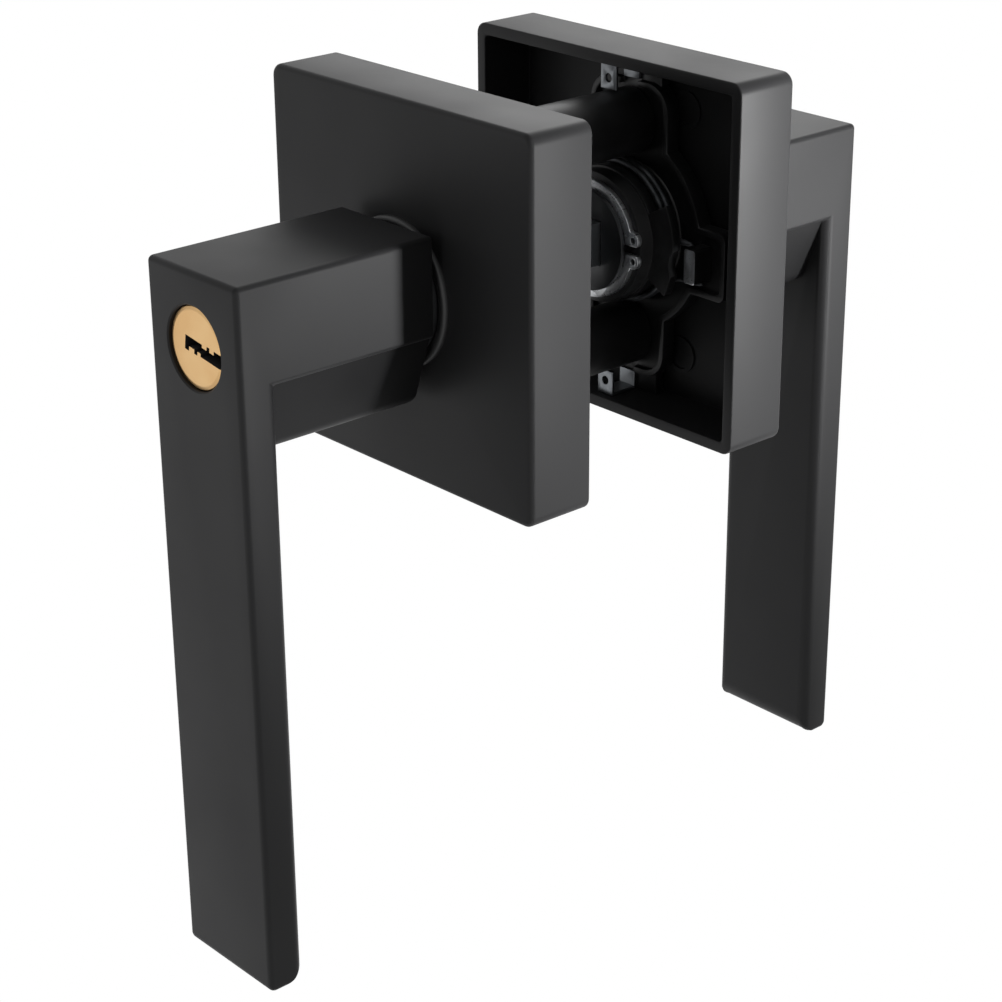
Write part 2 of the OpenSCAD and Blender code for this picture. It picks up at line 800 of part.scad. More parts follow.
// Ring on the stem behind the lever's web
module button_clip() {
    color(steel) on_side(INSIDE) slab(button_web_o - 1.35, button_web_o - 0.35) difference() {
        circle(stem_r + 1.8);
        circle(stem_r - clip_groove + 0.05);
        translate([0, -1]) square([2 * shank_r, 2]);
    }
}

rose_cover(OUTSIDE);  // outside_rose_cover
rose_cover(INSIDE);  // inside_rose_cover
mounting_plate(OUTSIDE);  // outside_mounting_plate
mounting_plate(INSIDE);  // inside_mounting_plate
bush(OUTSIDE);  // outside_bush
bush(INSIDE);  // inside_bush
cover_clips(OUTSIDE);  // outside_cover_clips
cover_clips(INSIDE);  // inside_cover_clips
stop_lugs(OUTSIDE);  // outside_stop_lugs
stop_lugs(INSIDE);  // inside_stop_lugs
return_spring(OUTSIDE);  // outside_return_spring
return_spring(INSIDE);  // inside_return_spring
screw_posts();
mounting_screws();
outside_lever();
inside_lever();
shank(OUTSIDE);  // outside_shank
shank(INSIDE);  // inside_shank
cam(OUTSIDE);  // outside_cam
cam(INSIDE);  // inside_cam
snap_ring(OUTSIDE);  // outside_snap_ring
snap_ring(INSIDE);  // inside_snap_ring
grub_screw(OUTSIDE);  // outside_grub_screw
grub_screw(INSIDE);  // inside_grub_screw
square_spindle();
cylinder_body();
chamber_cover();
driver_pins();
pin_springs();
key_plug();
key_pins();
plug_clip();
tail_bar();
turn_button();
button_clip();
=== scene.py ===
"""A keyed door lever set with square roses, dressed for a close look from every side.

Sizes are in millimetres until a mesh is made, because Blender's scene is in metres.
The outside half lies at -Y and holds the key plug; the inside half lies at +Y.
A distance called "o" runs outwards from the door face of either half.
"""
import logging
import math
from dataclasses import dataclass
from enum import Enum
from typing import Callable, Sequence

import bpy
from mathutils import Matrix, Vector


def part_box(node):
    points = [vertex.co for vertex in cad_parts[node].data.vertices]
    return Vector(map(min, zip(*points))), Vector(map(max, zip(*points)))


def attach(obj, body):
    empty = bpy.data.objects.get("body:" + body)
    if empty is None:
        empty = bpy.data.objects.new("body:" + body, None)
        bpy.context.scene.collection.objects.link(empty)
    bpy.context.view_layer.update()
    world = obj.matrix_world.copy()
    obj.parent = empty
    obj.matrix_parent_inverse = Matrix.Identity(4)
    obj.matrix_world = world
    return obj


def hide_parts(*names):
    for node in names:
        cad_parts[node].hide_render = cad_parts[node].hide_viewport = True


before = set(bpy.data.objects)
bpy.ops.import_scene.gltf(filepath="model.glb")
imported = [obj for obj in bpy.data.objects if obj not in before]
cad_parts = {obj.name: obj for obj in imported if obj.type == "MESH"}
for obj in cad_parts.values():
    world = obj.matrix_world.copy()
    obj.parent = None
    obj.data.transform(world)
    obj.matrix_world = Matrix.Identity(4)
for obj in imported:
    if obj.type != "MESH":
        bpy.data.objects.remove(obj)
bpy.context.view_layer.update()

MM = 0.001
# How far a cutter stands out of what it cuts, in mm, and how far a welded piece sinks in
OVERLAP = 1.0
WELD = 0.5
# How close two places have to be to count as one, in metres
NEAR = 1e-6
LOG = logging.getLogger("door_lever")
Point = tuple[float, float, float]


class Edge(Enum):
    """How wide the edges are rounded, in mm, that each way of making leaves."""

    STRIP = 0.08
    SCREW = 0.1
    PIN = 0.12
    PRESSED = 0.15
    CAST = 0.2
    LUG = 0.25
    DRAWN = 0.3
    MOULDED = 0.45


class Side(Enum):
    """The two halves of the set, with the sign of Y on which each lies."""

    OUTSIDE = -1
    INSIDE = 1

    @property
    def prefix(self) -> str:
        """The first word of the half's node names."""
        return self.name.lower()


def box_mm(node: str) -> tuple[Vector, Vector]:
    """The low and the high corner of a CAD node's box, in mm."""
    low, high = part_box(node)
    return Vector(low) / MM, Vector(high) / MM


HALF_DOOR = box_mm("inside_rose_cover")[0].y


def at(side: Side, o: float) -> float:
    """Y in mm of a plane at distance o from a half's door face."""
    return side.value * (HALF_DOOR + o)


def reach(node: str) -> tuple[float, float]:
    """Measures where a node of one half starts and ends.

    Args:
        node: the CAD node's name.

    Returns:
        Its two ends' distances from its door face, in mm.
    """
    low, high = box_mm(node)
    near, far = sorted((abs(low.y), abs(high.y)))
    return near - HALF_DOOR, far - HALF_DOOR


def linear(hex_colour: str) -> tuple[float, float, float, float]:
    """Turns an sRGB hex colour into linear light.

    Args:
        hex_colour: the colour, such as "#2c2c2d".

    Returns:
        Red, green, blue and alpha for a shader socket.
    """
    parts = [int(hex_colour[i:i + 2], 16) / 255 for i in (1, 3, 5)]
    return (*[c / 12.92 if c <= 0.04045 else ((c + 0.055) / 1.055) ** 2.4 for c in parts], 1.0)


def add_node(tree: bpy.types.NodeTree, kind: str, inputs: dict | None = None, **settings) -> bpy.types.Node:
    """Adds a shader node with its settings and links.

    Args:
        tree: the material's node tree.
        kind: the node's type name.
        inputs: values or output sockets by input name or number.
        settings: the node's own properties.

    Returns:
        The new node.
    """
    node = tree.nodes.new(kind)
    for name, value in settings.items():
        setattr(node, name, value)
    for name, value in (inputs or {}).items():
        if isinstance(value, bpy.types.NodeSocket):
            tree.links.new(value, node.inputs[name])
        else:
            node.inputs[name].default_value = value
    return node


@dataclass(frozen=True)
class Finish:
    """A surface finish. Each kind below adds the pattern that its real process leaves."""

    name: str
    slot: str
    colour: str
    roughness: float
    metallic: float = 0.0

    def material(self) -> bpy.types.Material:
        """Makes the finish's Blender material on its first use.

        Returns:
            The material.
        """
        if self.name in bpy.data.materials:
            return bpy.data.materials[self.name]
        made = bpy.data.materials.new(self.name)
        made.use_nodes = True
        tree = made.node_tree
        tree.nodes.clear()
        shader = add_node(tree, "ShaderNodeBsdfPrincipled", {
            "Base Color": linear(self.colour), "Roughness": self.roughness, "Metallic": self.metallic,
        })
        place = add_node(tree, "ShaderNodeTexCoord").outputs["Object"]
        self.pattern(tree, shader, place)
        output = add_node(tree, "ShaderNodeOutputMaterial")
        tree.links.new(shader.outputs["BSDF"], output.inputs["Surface"])
        return made

    def pattern(self, tree: bpy.types.NodeTree, shader: bpy.types.Node, place: bpy.types.NodeSocket) -> None:
        """Adds what the surface shows beside its plain colour; a plain finish adds nothing.

        Args:
            tree: the material's node tree.
            shader: its shader.
            place: the Object coordinates.
        """

    def grain(self, tree: bpy.types.NodeTree, place: bpy.types.NodeSocket,
              size: float) -> bpy.types.NodeSocket:
        """Returns a noise whose grains are about size mm across."""
        inputs = {"Vector": place, "Scale": 1 / (size * MM), "Detail": 3.0}
        return add_node(tree, "ShaderNodeTexNoise", inputs).outputs["Fac"]

    def vary(self, tree: bpy.types.NodeTree, source: bpy.types.NodeSocket, low: float,
             high: float) -> bpy.types.NodeSocket:
        """Returns a value that runs from low to high over the middle of a noise's range."""
        inputs = {"Value": source, "From Min": 0.3, "From Max": 0.7, "To Min": low, "To Max": high}
        return add_node(tree, "ShaderNodeMapRange", inputs).outputs["Result"]

    def tint(self, tree: bpy.types.NodeTree, source: bpy.types.NodeSocket, other: str,
             share: float) -> bpy.types.NodeSocket:
        """Mixes the finish's colour with another.

        Args:
            tree: the material's node tree.
            source: the noise that mixes them.
            other: the other colour as sRGB hex.
            share: the most that the other colour makes up.

        Returns:
            The mixed colour's socket.
        """
        inputs = {0: self.vary(tree, source, 0.0, share), 6: linear(self.colour), 7: linear(other)}
        return add_node(tree, "ShaderNodeMix", inputs, data_type="RGBA").outputs[2]

    def press(self, tree: bpy.types.NodeTree, shader: bpy.types.Node, height: bpy.types.NodeSocket,
              depth: float, strength: float) -> None:
        """Presses a height pattern into the surface.

        Args:
            tree: the material's node tree.
            shader: its shader.
            height: the pattern.
            depth: how deep it goes, in mm.
            strength: how strongly it shows, from 0 to 1.
        """
        inputs = {"Height": height, "Distance": depth * MM, "Strength": strength}
        bump = add_node(tree, "ShaderNodeBump", inputs)
        tree.links.new(bump.outputs["Normal"], shader.inputs["Normal"])


@dataclass(frozen=True)
class PowderCoat(Finish):
    """Baked polyester powder on a casting: a matte black skin with a fine, even pebble."""

    pebble: float = 0.5

    def pattern(self, tree: bpy.types.NodeTree, shader: bpy.types.Node, place: bpy.types.NodeSocket) -> None:
        """Adds the pebble, drawn coarser than real so that it shows, and a slow change of gloss.

        Args:
            tree: the material's node tree.
            shader: its shader.
            place: the Object coordinates.
        """
        shader.inputs["Specular IOR Level"].default_value = 0.18
        cloud = self.grain(tree, place, 24.0)
        tree.links.new(self.tint(tree, cloud, "#323233", 0.3), shader.inputs["Base Color"])
        gloss = self.vary(tree, cloud, self.roughness - 0.03, self.roughness + 0.04)
        tree.links.new(gloss, shader.inputs["Roughness"])
        self.press(tree, shader, self.grain(tree, place, self.pebble), 0.015, 0.3)


@dataclass(frozen=True)
class TurnedBrass(Finish):
    """Brass faced on a lathe: fine rings around the spindle axis under a satin polish."""

    ring_pitch: float = 0.35

    def pattern(self, tree: bpy.types.NodeTree, shader: bpy.types.Node, place: bpy.types.NodeSocket) -> None:
        """Adds the tool's rings, drawn coarser than the real 0.1 mm so that they show.

        Args:
            tree: the material's node tree.
            shader: its shader.
            place: the Object coordinates.
        """
        inputs = {"Vector": place, "Scale": 0.314 / (self.ring_pitch * MM), "Distortion": 0.4, "Detail": 2.0}
        rings = add_node(tree, "ShaderNodeTexWave", inputs, wave_type="RINGS", rings_direction="Y")
        cloud = self.grain(tree, place, 5.0)
        tree.links.new(self.tint(tree, cloud, "#b48a56", 0.4), shader.inputs["Base Color"])
        gloss = self.vary(tree, rings.outputs["Fac"], self.roughness, self.roughness + 0.06)
        tree.links.new(gloss, shader.inputs["Roughness"])
        self.press(tree, shader, rings.outputs["Fac"], 0.003, 0.25)


@dataclass(frozen=True)
class DrawnSteel(Finish):
    """Drawn or stamped steel: smooth, with faint streaks along the way that it was drawn."""

    streak: float = 0.4

    def pattern(self, tree: bpy.types.NodeTree, shader: bpy.types.Node, place: bpy.types.NodeSocket) -> None:
        """Adds streaks along Y and the slight clouding of the plating.

        Args:
            tree: the material's node tree.
            shader: its shader.
            place: the Object coordinates.
        """
        stretched = add_node(tree, "ShaderNodeMapping", {"Vector": place, "Scale": (1.0, 0.1, 1.0)})
        streaks = self.grain(tree, stretched.outputs["Vector"], self.streak)
        gloss = self.vary(tree, streaks, self.roughness, self.roughness + 0.1)
        tree.links.new(gloss, shader.inputs["Roughness"])
        cloud = self.grain(tree, place, 4.0)
        tree.links.new(self.tint(tree, cloud, "#8f9296", 0.3), shader.inputs["Base Color"])
        self.press(tree, shader, streaks, 0.002, 0.08)


@dataclass(frozen=True)
class CastSkin(Finish):
    """A cast or moulded surface as it leaves the tool: dull, with sand and cold-flow clouds."""

    sand: float = 0.6

    def pattern(self, tree: bpy.types.NodeTree, shader: bpy.types.Node, place: bpy.types.NodeSocket) -> None:
        """Adds the sand and the clouds.

        Args:
            tree: the material's node tree.
            shader: its shader.
            place: the Object coordinates.
        """
        cloud = self.grain(tree, place, 9.0)
        gloss = self.vary(tree, cloud, self.roughness - 0.06, self.roughness + 0.08)
        tree.links.new(gloss, shader.inputs["Roughness"])
        self.press(tree, shader, self.grain(tree, place, self.sand), 0.02, 0.3)


# Black polyester powder: a soft grey sheen with no mirror in it, over a fine pebble
COAT = PowderCoat("matte_black_powder_coat", "black_coat", "#2a2a2b", 0.5)
# The same powder with painted shade on the housing under the neck: darker than the rest
SHADED_COAT = PowderCoat("painted_shade_coat_under_the_neck", "black_coat", "#111112", 0.52)
# The powder in the roses' hollows, darkened as painted shade: dull, with a coarser pebble
HOLLOW_SHADE_COAT = PowderCoat("powder_with_painted_shade_in_the_hollow", "black_coat", "#232324", 0.56, pebble=0.9)
# Yellow brass, faced and satin polished: a warm glow that softens what it mirrors
BRASS = TurnedBrass("satin_turned_brass", "brass", "#c3a273", 0.36, 1.0)
# Painted shade in the depth of the keyway: near black, so that the wards stand out
KEYWAY_SHADE = CastSkin("painted_shade_in_the_keyway", "brass", "#0b0908", 0.7)
# Clear zinc on steel: the brightest metal behind the roses
PLATED = DrawnSteel("bright_zinc_plated_steel", "bright_steel", "#d2d4d6", 0.26, 1.0)
# Tempered strip: a grey, less bright than zinc
CLIP_STEEL = DrawnSteel("blued_spring_steel", "spring_steel", "#6e7174", 0.35, 1.0)
# Hard-drawn wire under oil: dark, with a thin line of light on each turn
SPRING = DrawnSteel("oiled_spring_wire", "spring_steel", "#222324", 0.48, 1.0)
# Cast zinc with a dark passivation: half metal, slightly cloudy
ZINC = CastSkin("dark_passivated_zinc_casting", "die_cast_zinc", "#2f3032", 0.42, 0.6)
# Black oxide on steel: dark and dull, with a weak metal glint on its edges
OXIDE = CastSkin("black_oxide_steel", "dark_steel", "#19191a", 0.46, 0.3)
# Moulded nylon: black with a slight waxy gloss
NYLON = CastSkin("moulded_black_nylon", "nylon_bush", "#141415", 0.5)


class Bench:
    """Blender's operators, used in the order in which a piece is modelled by hand."""

    @staticmethod
    def pick(piece: bpy.types.Object | None = None) -> None:
        """Makes a piece the only selected and active object, or deselects everything.

        Args:
            piece: the object, or None to select nothing.
        """
        if bpy.context.object and bpy.context.object.mode == "EDIT":
            bpy.ops.object.mode_set(mode="OBJECT")
        bpy.ops.object.select_all(action="DESELECT")
        if piece:
            piece.select_set(True)
            bpy.context.view_layer.objects.active = piece

    @staticmethod
    def settle(name: str) -> bpy.types.Object:
        """Names the new active object and puts its place into its mesh.

        Args:
            name: the name of the object and its mesh.

        Returns:
            The object.
        """
        piece = bpy.context.active_object
        piece.name = name
        piece.data.name = name
        bpy.ops.object.transform_apply(location=True, rotation=True, scale=True)
        return piece

    @staticmethod
    def box(name: str, low: Point, high: Point) -> bpy.types.Object:
        """Adds a box.

        Args:
            name: its name.
            low: one corner in mm.
            high: the opposite corner; either may be the higher one on each axis.

        Returns:
            The box.
        """
        Bench.pick()
        ends = [sorted(pair) for pair in zip(low, high)]
        size = Vector([b - a for a, b in ends]) * MM
        middle = Vector([a + b for a, b in ends]) * MM / 2
        bpy.ops.mesh.primitive_cube_add(size=1, location=middle)
        bpy.context.active_object.scale = size
        return Bench.settle(name)

    @staticmethod
    def rod(name: str, y0: float, y1: float, radius: float, x: float = 0.0, z: float = 0.0,
            sides: int = 96) -> bpy.types.Object:
        """Adds a round bar along Y.

        Args:
            name: its name.
            y0: one end in mm.
            y1: the other end in mm.
            radius: its radius in mm.
            x: its axis's place in mm.
            z: its axis's place in mm.
            sides: the number of faces round it.

        Returns:
            The bar.
        """
        Bench.pick()
        bpy.ops.mesh.primitive_cylinder_add(
            vertices=sides, radius=radius * MM, depth=abs(y1 - y0) * MM,
            location=(x * MM, (y0 + y1) / 2 * MM, z * MM), rotation=(math.pi / 2, 0, 0),
        )
        return Bench.settle(name)

    @staticmethod
    def drill(side: Side, o0: float, o1: float, radius: float, chamfer: float) -> bpy.types.Object:
        """Makes a cutter for a hole that opens outwards at o1 with a chamfer.

        Args:
            side: the half that the hole is in.
            o0: the hole's inner end, from the door face in mm.
            o1: the surface that it opens in.
            radius: the hole's radius in mm.
            chamfer: the chamfer's width in mm.

        Returns:
            The cutter, which stands 1 mm out of the surface.
        """
        tool = Bench.rod("drill", at(side, o0), at(side, o1 - chamfer), radius)
        wide = (radius + chamfer) / radius
        Bench.select(tool, "FACE", lambda m, f: f.normal.y * side.value > 0.9)
        out = Vector((0, side.value, 0)) * MM
        bpy.ops.mesh.extrude_region_move(TRANSFORM_OT_translate={"value": out * chamfer})
        bpy.ops.transform.resize(value=(wide, 1, wide), center_override=(0, 0, 0))
        bpy.ops.mesh.extrude_region_move(TRANSFORM_OT_translate={"value": out})
        Bench.done()
        return tool

    @staticmethod
    def turn(name: str, side: Side, profile: Sequence[tuple[float, float]],
             steps: int = 96) -> bpy.types.Object:
        """Turns a closed profile around the spindle axis.

        Args:
            name: the piece's name.
            side: the half that it lies in.
            profile: radius and distance from the door face of each corner, in mm.
            steps: the number of faces round the axis.

        Returns:
            The turned piece.
        """
        Bench.pick()
        bpy.ops.mesh.primitive_circle_add(vertices=len(profile), radius=1.0, fill_type="NOTHING")
        piece = Bench.settle(name)
        for vertex, (radius, o) in zip(piece.data.vertices, profile):
            vertex.co = Vector((radius, at(side, o), 0)) * MM
        Bench.pick(piece)
        bpy.ops.object.mode_set(mode="EDIT")
        bpy.ops.mesh.select_all(action="SELECT")
        bpy.ops.mesh.spin(steps=steps, angle=2 * math.pi, center=(0, 0, 0), axis=(0, 1, 0))
        bpy.ops.mesh.select_all(action="SELECT")
        bpy.ops.mesh.remove_doubles(threshold=0.002 * MM)
        bpy.ops.mesh.normals_make_consistent(inside=False)
        Bench.done()
        return piece

    @staticmethod
    def select(piece: bpy.types.Object, kind: str, test: Callable) -> int:
        """Enters edit mode with only the faces or edges that pass a test selected.

        Args:
            piece: the object to edit.
            kind: "FACE" or "EDGE".
            test: takes the mesh and the face or edge, and says whether it is wanted.

        Returns:
            How many were selected.
        """
        Bench.pick(piece)
        bpy.ops.object.mode_set(mode="EDIT")
        bpy.ops.mesh.select_mode(type=kind)
        bpy.ops.mesh.select_all(action="DESELECT")
        bpy.ops.object.mode_set(mode="OBJECT")
        mesh = piece.data
        wanted = [e for e in (mesh.polygons if kind == "FACE" else mesh.edges) if test(mesh, e)]
        for element in wanted:
            element.select = True
        bpy.ops.object.mode_set(mode="EDIT")
        return len(wanted)

    @staticmethod
    def done() -> None:
        """Goes back to object mode."""
        bpy.ops.object.mode_set(mode="OBJECT")

    @staticmethod
    def round_edges(piece: bpy.types.Object, segments: int, *rules: tuple[float, Callable]) -> None:
        """Rounds several kinds of edges in one bevel, so that they meet cleanly at the corners.

        Args:
            piece: the object to round.
            segments: the number of faces over each rounding.
            rules: a radius in mm, and the test for the edges that get it.
        """
        widest = max(radius for radius, _ in rules)
        weights = piece.data.attributes.get("bevel_weight_edge")
        if weights:
            piece.data.attributes.remove(weights)
        for radius, test in rules:
            if Bench.select(piece, "EDGE", both(test, sharp)):
                bpy.ops.transform.edge_bevelweight(value=radius / widest)
            Bench.done()
        Bench.bevel(piece, widest, segments, "WEIGHT")

    @staticmethod
    def bevel(piece: bpy.types.Object, width: float, segments: int, limit: str, angle: float = 32.0,
              clamp: bool = False) -> None:
        """Applies a Bevel modifier.

        Args:
            piece: the object.
            width: the bevel's width in mm.
            segments: the number of faces over each rounding.
            limit: "WEIGHT" or "ANGLE".
            angle: the least angle in degrees of an edge that counts as sharp.
            clamp: whether the bevels stop where they would meet.
        """
        Bench.pick(piece)
        step = piece.modifiers.new("rounding", "BEVEL")
        step.width = width * MM
        step.segments = segments
        step.limit_method = limit
        step.angle_limit = math.radians(angle)
        step.use_clamp_overlap = clamp
        bpy.ops.object.modifier_apply(modifier=step.name)

    @staticmethod
    def solid(piece: bpy.types.Object, way: str, *tools: bpy.types.Object) -> None:
        """Cuts tools out of a piece, or welds them to it, and uses them up.

        Args:
            piece: the object that stays.
            way: "DIFFERENCE" to cut or "UNION" to weld.
            tools: the objects that cut or add.
        """
        for tool in tools:
            Bench.pick(piece)
            step = piece.modifiers.new("solid", "BOOLEAN")
            step.operation = way
            step.object = tool
            step.solver = "EXACT"
            bpy.ops.object.modifier_apply(modifier=step.name)
            bpy.data.objects.remove(tool)

    @staticmethod
    def tidy(piece: bpy.types.Object) -> None:
        """Merges doubled points and joins the faces that lie in one plane.

        Args:
            piece: the object.
        """
        Bench.pick(piece)
        bpy.ops.object.mode_set(mode="EDIT")
        bpy.ops.mesh.select_all(action="SELECT")
        bpy.ops.mesh.remove_doubles(threshold=0.003 * MM)
        bpy.ops.mesh.dissolve_limited(angle_limit=math.radians(0.4))
        bpy.ops.mesh.normals_make_consistent(inside=False)
        Bench.done()

    @staticmethod
    def smooth(piece: bpy.types.Object, angle: float = 32.0) -> None:
        """Shades everything smooth but the edges that are sharper than an angle in degrees."""
        Bench.pick(piece)
        bpy.ops.object.shade_smooth_by_angle(angle=math.radians(angle))


def ends_of(mesh: bpy.types.Mesh, edge: bpy.types.MeshEdge) -> list[Vector]:
    """The places of an edge's two ends, in metres."""
    return [mesh.vertices[v].co for v in edge.vertices]


def run_of(mesh: bpy.types.Mesh, edge: bpy.types.MeshEdge) -> Vector:
    """The way that an edge runs, with a length of 1."""
    start, end = ends_of(mesh, edge)
    return (end - start).normalized()


def is_at(point: Vector, places: dict[str, float]) -> bool:
    """Whether a point lies at the given x, y or z in mm."""
    return all(abs(getattr(point, axis) - place * MM) < NEAR for axis, place in places.items())


def sharp(mesh: bpy.types.Mesh, edge: bpy.types.MeshEdge) -> bool:
    """Whether the two faces at an edge lie in different planes."""
    normals = [face.normal for face in mesh.polygons if edge.key in face.edge_keys]
    return len(normals) == 2 and normals[0].dot(normals[1]) < 0.99


def along(axis: int) -> Callable:
    """Returns a test for edges that run along an axis."""
    return lambda mesh, edge: abs(run_of(mesh, edge)[axis]) > 0.999


def lies(**places: float) -> Callable:
    """Returns a test for edges whose two ends lie at the given x, y or z in mm."""
    return lambda mesh, edge: all(is_at(end, places) for end in ends_of(mesh, edge))


def touches(**places: float) -> Callable:
    """Returns a test for edges that have at least one end at the given x, y or z in mm."""
    return lambda mesh, edge: any(is_at(end, places) for end in ends_of(mesh, edge))


def below(z: float) -> Callable:
    """Returns a test for edges whose ends lie at or below a height in mm."""
    return lambda mesh, edge: all(end.z < (z + 0.01) * MM for end in ends_of(mesh, edge))


def both(*tests: Callable) -> Callable:
    """Returns a test that passes where all the given tests pass."""
    return lambda mesh, element: all(test(mesh, element) for test in tests)


def put(piece: bpy.types.Object, finish: Finish, body: str, *nodes: str) -> bpy.types.Object:
    """Gives a finished piece its material and its body, and lets it stand for CAD nodes.

    Args:
        piece: the finished mesh.
        finish: the finish that it gets all over.
        body: the CAD body that carries it.
        nodes: the CAD nodes that it replaces.

    Returns:
        The piece.
    """
    piece.data.materials.clear()
    piece.data.materials.append(finish.material())
    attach(piece, body)
    if nodes:
        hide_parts(*nodes)
    LOG.info("%s rides on %s and replaces %s", piece.name, body, ", ".join(nodes) or "nothing")
    return piece


def repaint(piece: bpy.types.Object, finish: Finish, test: Callable[[Vector, Vector], bool]) -> None:
    """Gives some faces a second finish.

    Args:
        piece: the finished piece.
        finish: the second finish.
        test: takes a face's middle in mm and its normal, and says whether the face gets it.
    """
    piece.data.materials.append(finish.material())
    for face in piece.data.polygons:
        if test(face.center / MM, face.normal):
            face.material_index = 1


def copy_of(node: str) -> bpy.types.Object:
    """Copies a CAD node's mesh and merges its doubled points.

    Args:
        node: the CAD node's name.

    Returns:
        The copy, which belongs to no body yet.
    """
    Bench.pick(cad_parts[node])
    bpy.ops.object.duplicate()
    piece = bpy.context.active_object
    piece.parent = None
    for key in list(piece.keys()):
        del piece[key]
    piece.name = f"{node}_finished"
    Bench.tidy(piece)
    return piece


def refine(node: str, body: str, finish: Finish, edge: Edge, segments: int = 2,
           clamp: bool = False) -> bpy.types.Object:
    """Copies a CAD node, breaks its sharp edges and lets the copy stand for it.

    Args:
        node: the CAD node's name.
        body: the body that carries it.
        finish: its finish.
        edge: the kind of its broken edges.
        segments: how many faces go round each edge.
        clamp: whether the broken edges stop where they would meet.

    Returns:
        The finished copy.
    """
    piece = copy_of(node)
    Bench.bevel(piece, edge.value, segments, "ANGLE", clamp=clamp)
    Bench.smooth(piece)
    return put(piece, finish, body, node)


@dataclass(frozen=True)
class Rose:
    """A square rose cover: a dished casting with a round seat inside for the mounting plate."""

    side: Side
    corner: float = 2.2
    inner_corner: float = 0.8
    edge: float = 0.9
    arris: float = 0.25
    wall: float = 2.2
    face: float = 2.0
    seat: float = 17.0
    seat_height: float = 1.5
    collar_lap: float = 0.48
    hole_chamfer: float = 0.2
    mark: tuple[float, float] = (10.2, 22.8)
    mark_radius: float = 3.4
    mark_width: float = 0.7
    mark_height: float = 0.4
    mark_root: float = 0.3
    coat_edge: float = 0.05

    def build(self) -> None:
        """Models the cover from a box: back pushed in, edges rounded, seat welded on, hole cut."""
        side = self.side
        half = box_mm(f"{side.prefix}_rose_cover")[1].x
        rim, front = (at(side, o) for o in reach(f"{side.prefix}_rose_cover"))
        depth = abs(front - rim)
        floor = at(side, depth - self.face)
        cover = Bench.box(f"{side.prefix}_rose_shell", (-half, rim, -half), (half, front, half))
        Bench.select(cover, "FACE", lambda m, f: f.normal.y * side.value < -0.9)
        bpy.ops.mesh.inset(thickness=self.wall * MM)
        bpy.ops.mesh.extrude_region_move(TRANSFORM_OT_translate={"value": (0, (floor - rim) * MM, 0)})
        Bench.done()
        Bench.round_edges(cover, 8, (self.corner, both(along(1), touches(y=front))))
        Bench.round_edges(cover, 6, (self.inner_corner, both(along(1), touches(y=floor))),
                          (self.edge, lies(y=front)))
        Bench.round_edges(cover, 3, (self.arris, lies(y=rim)), (self.arris, lies(y=floor)))
        seat_o = depth - self.face - self.seat_height
        seat = Bench.rod("seat", at(side, seat_o), at(side, depth - self.face + WELD), self.seat)
        Bench.solid(cover, "UNION", seat, *self.marks(depth - self.face))
        hole = box_mm(f"{side.prefix}_bush")[1].x - self.collar_lap
        Bench.solid(cover, "DIFFERENCE", Bench.drill(side, -OVERLAP, depth, hole, self.hole_chamfer))
        Bench.smooth(cover)
        put(cover, COAT, "chassis", f"{side.prefix}_rose_cover")
        # Painted shade: the faces inside the hollow get a darker coat
        inner, floor = half - self.wall + self.coat_edge, abs(floor) + self.coat_edge
        repaint(cover, HOLLOW_SHADE_COAT, lambda m, n: max(abs(m.x), abs(m.z)) < inner and abs(m.y) < floor)

    def marks(self, floor_o: float) -> list[bpy.types.Object]:
        """Makes the four rings that ejector pins leave on the floor.

        Args:
            floor_o: the floor's distance from the door face, in mm.

        Returns:
            The rings.
        """
        rings, bore = [], self.mark_radius - self.mark_width
        low, high = at(self.side, floor_o - self.mark_height), at(self.side, floor_o + self.mark_root)
        for x in (-1, 1):
            for z in (-1, 1):
                place = {"x": x * self.mark[0], "z": z * self.mark[1], "sides": 48}
                ring = Bench.rod("mark", low, high, self.mark_radius, **place)
                core = Bench.rod("core", low - OVERLAP, high + OVERLAP, bore, **place)
                Bench.solid(ring, "DIFFERENCE", core)
                rings.append(ring)
        return rings


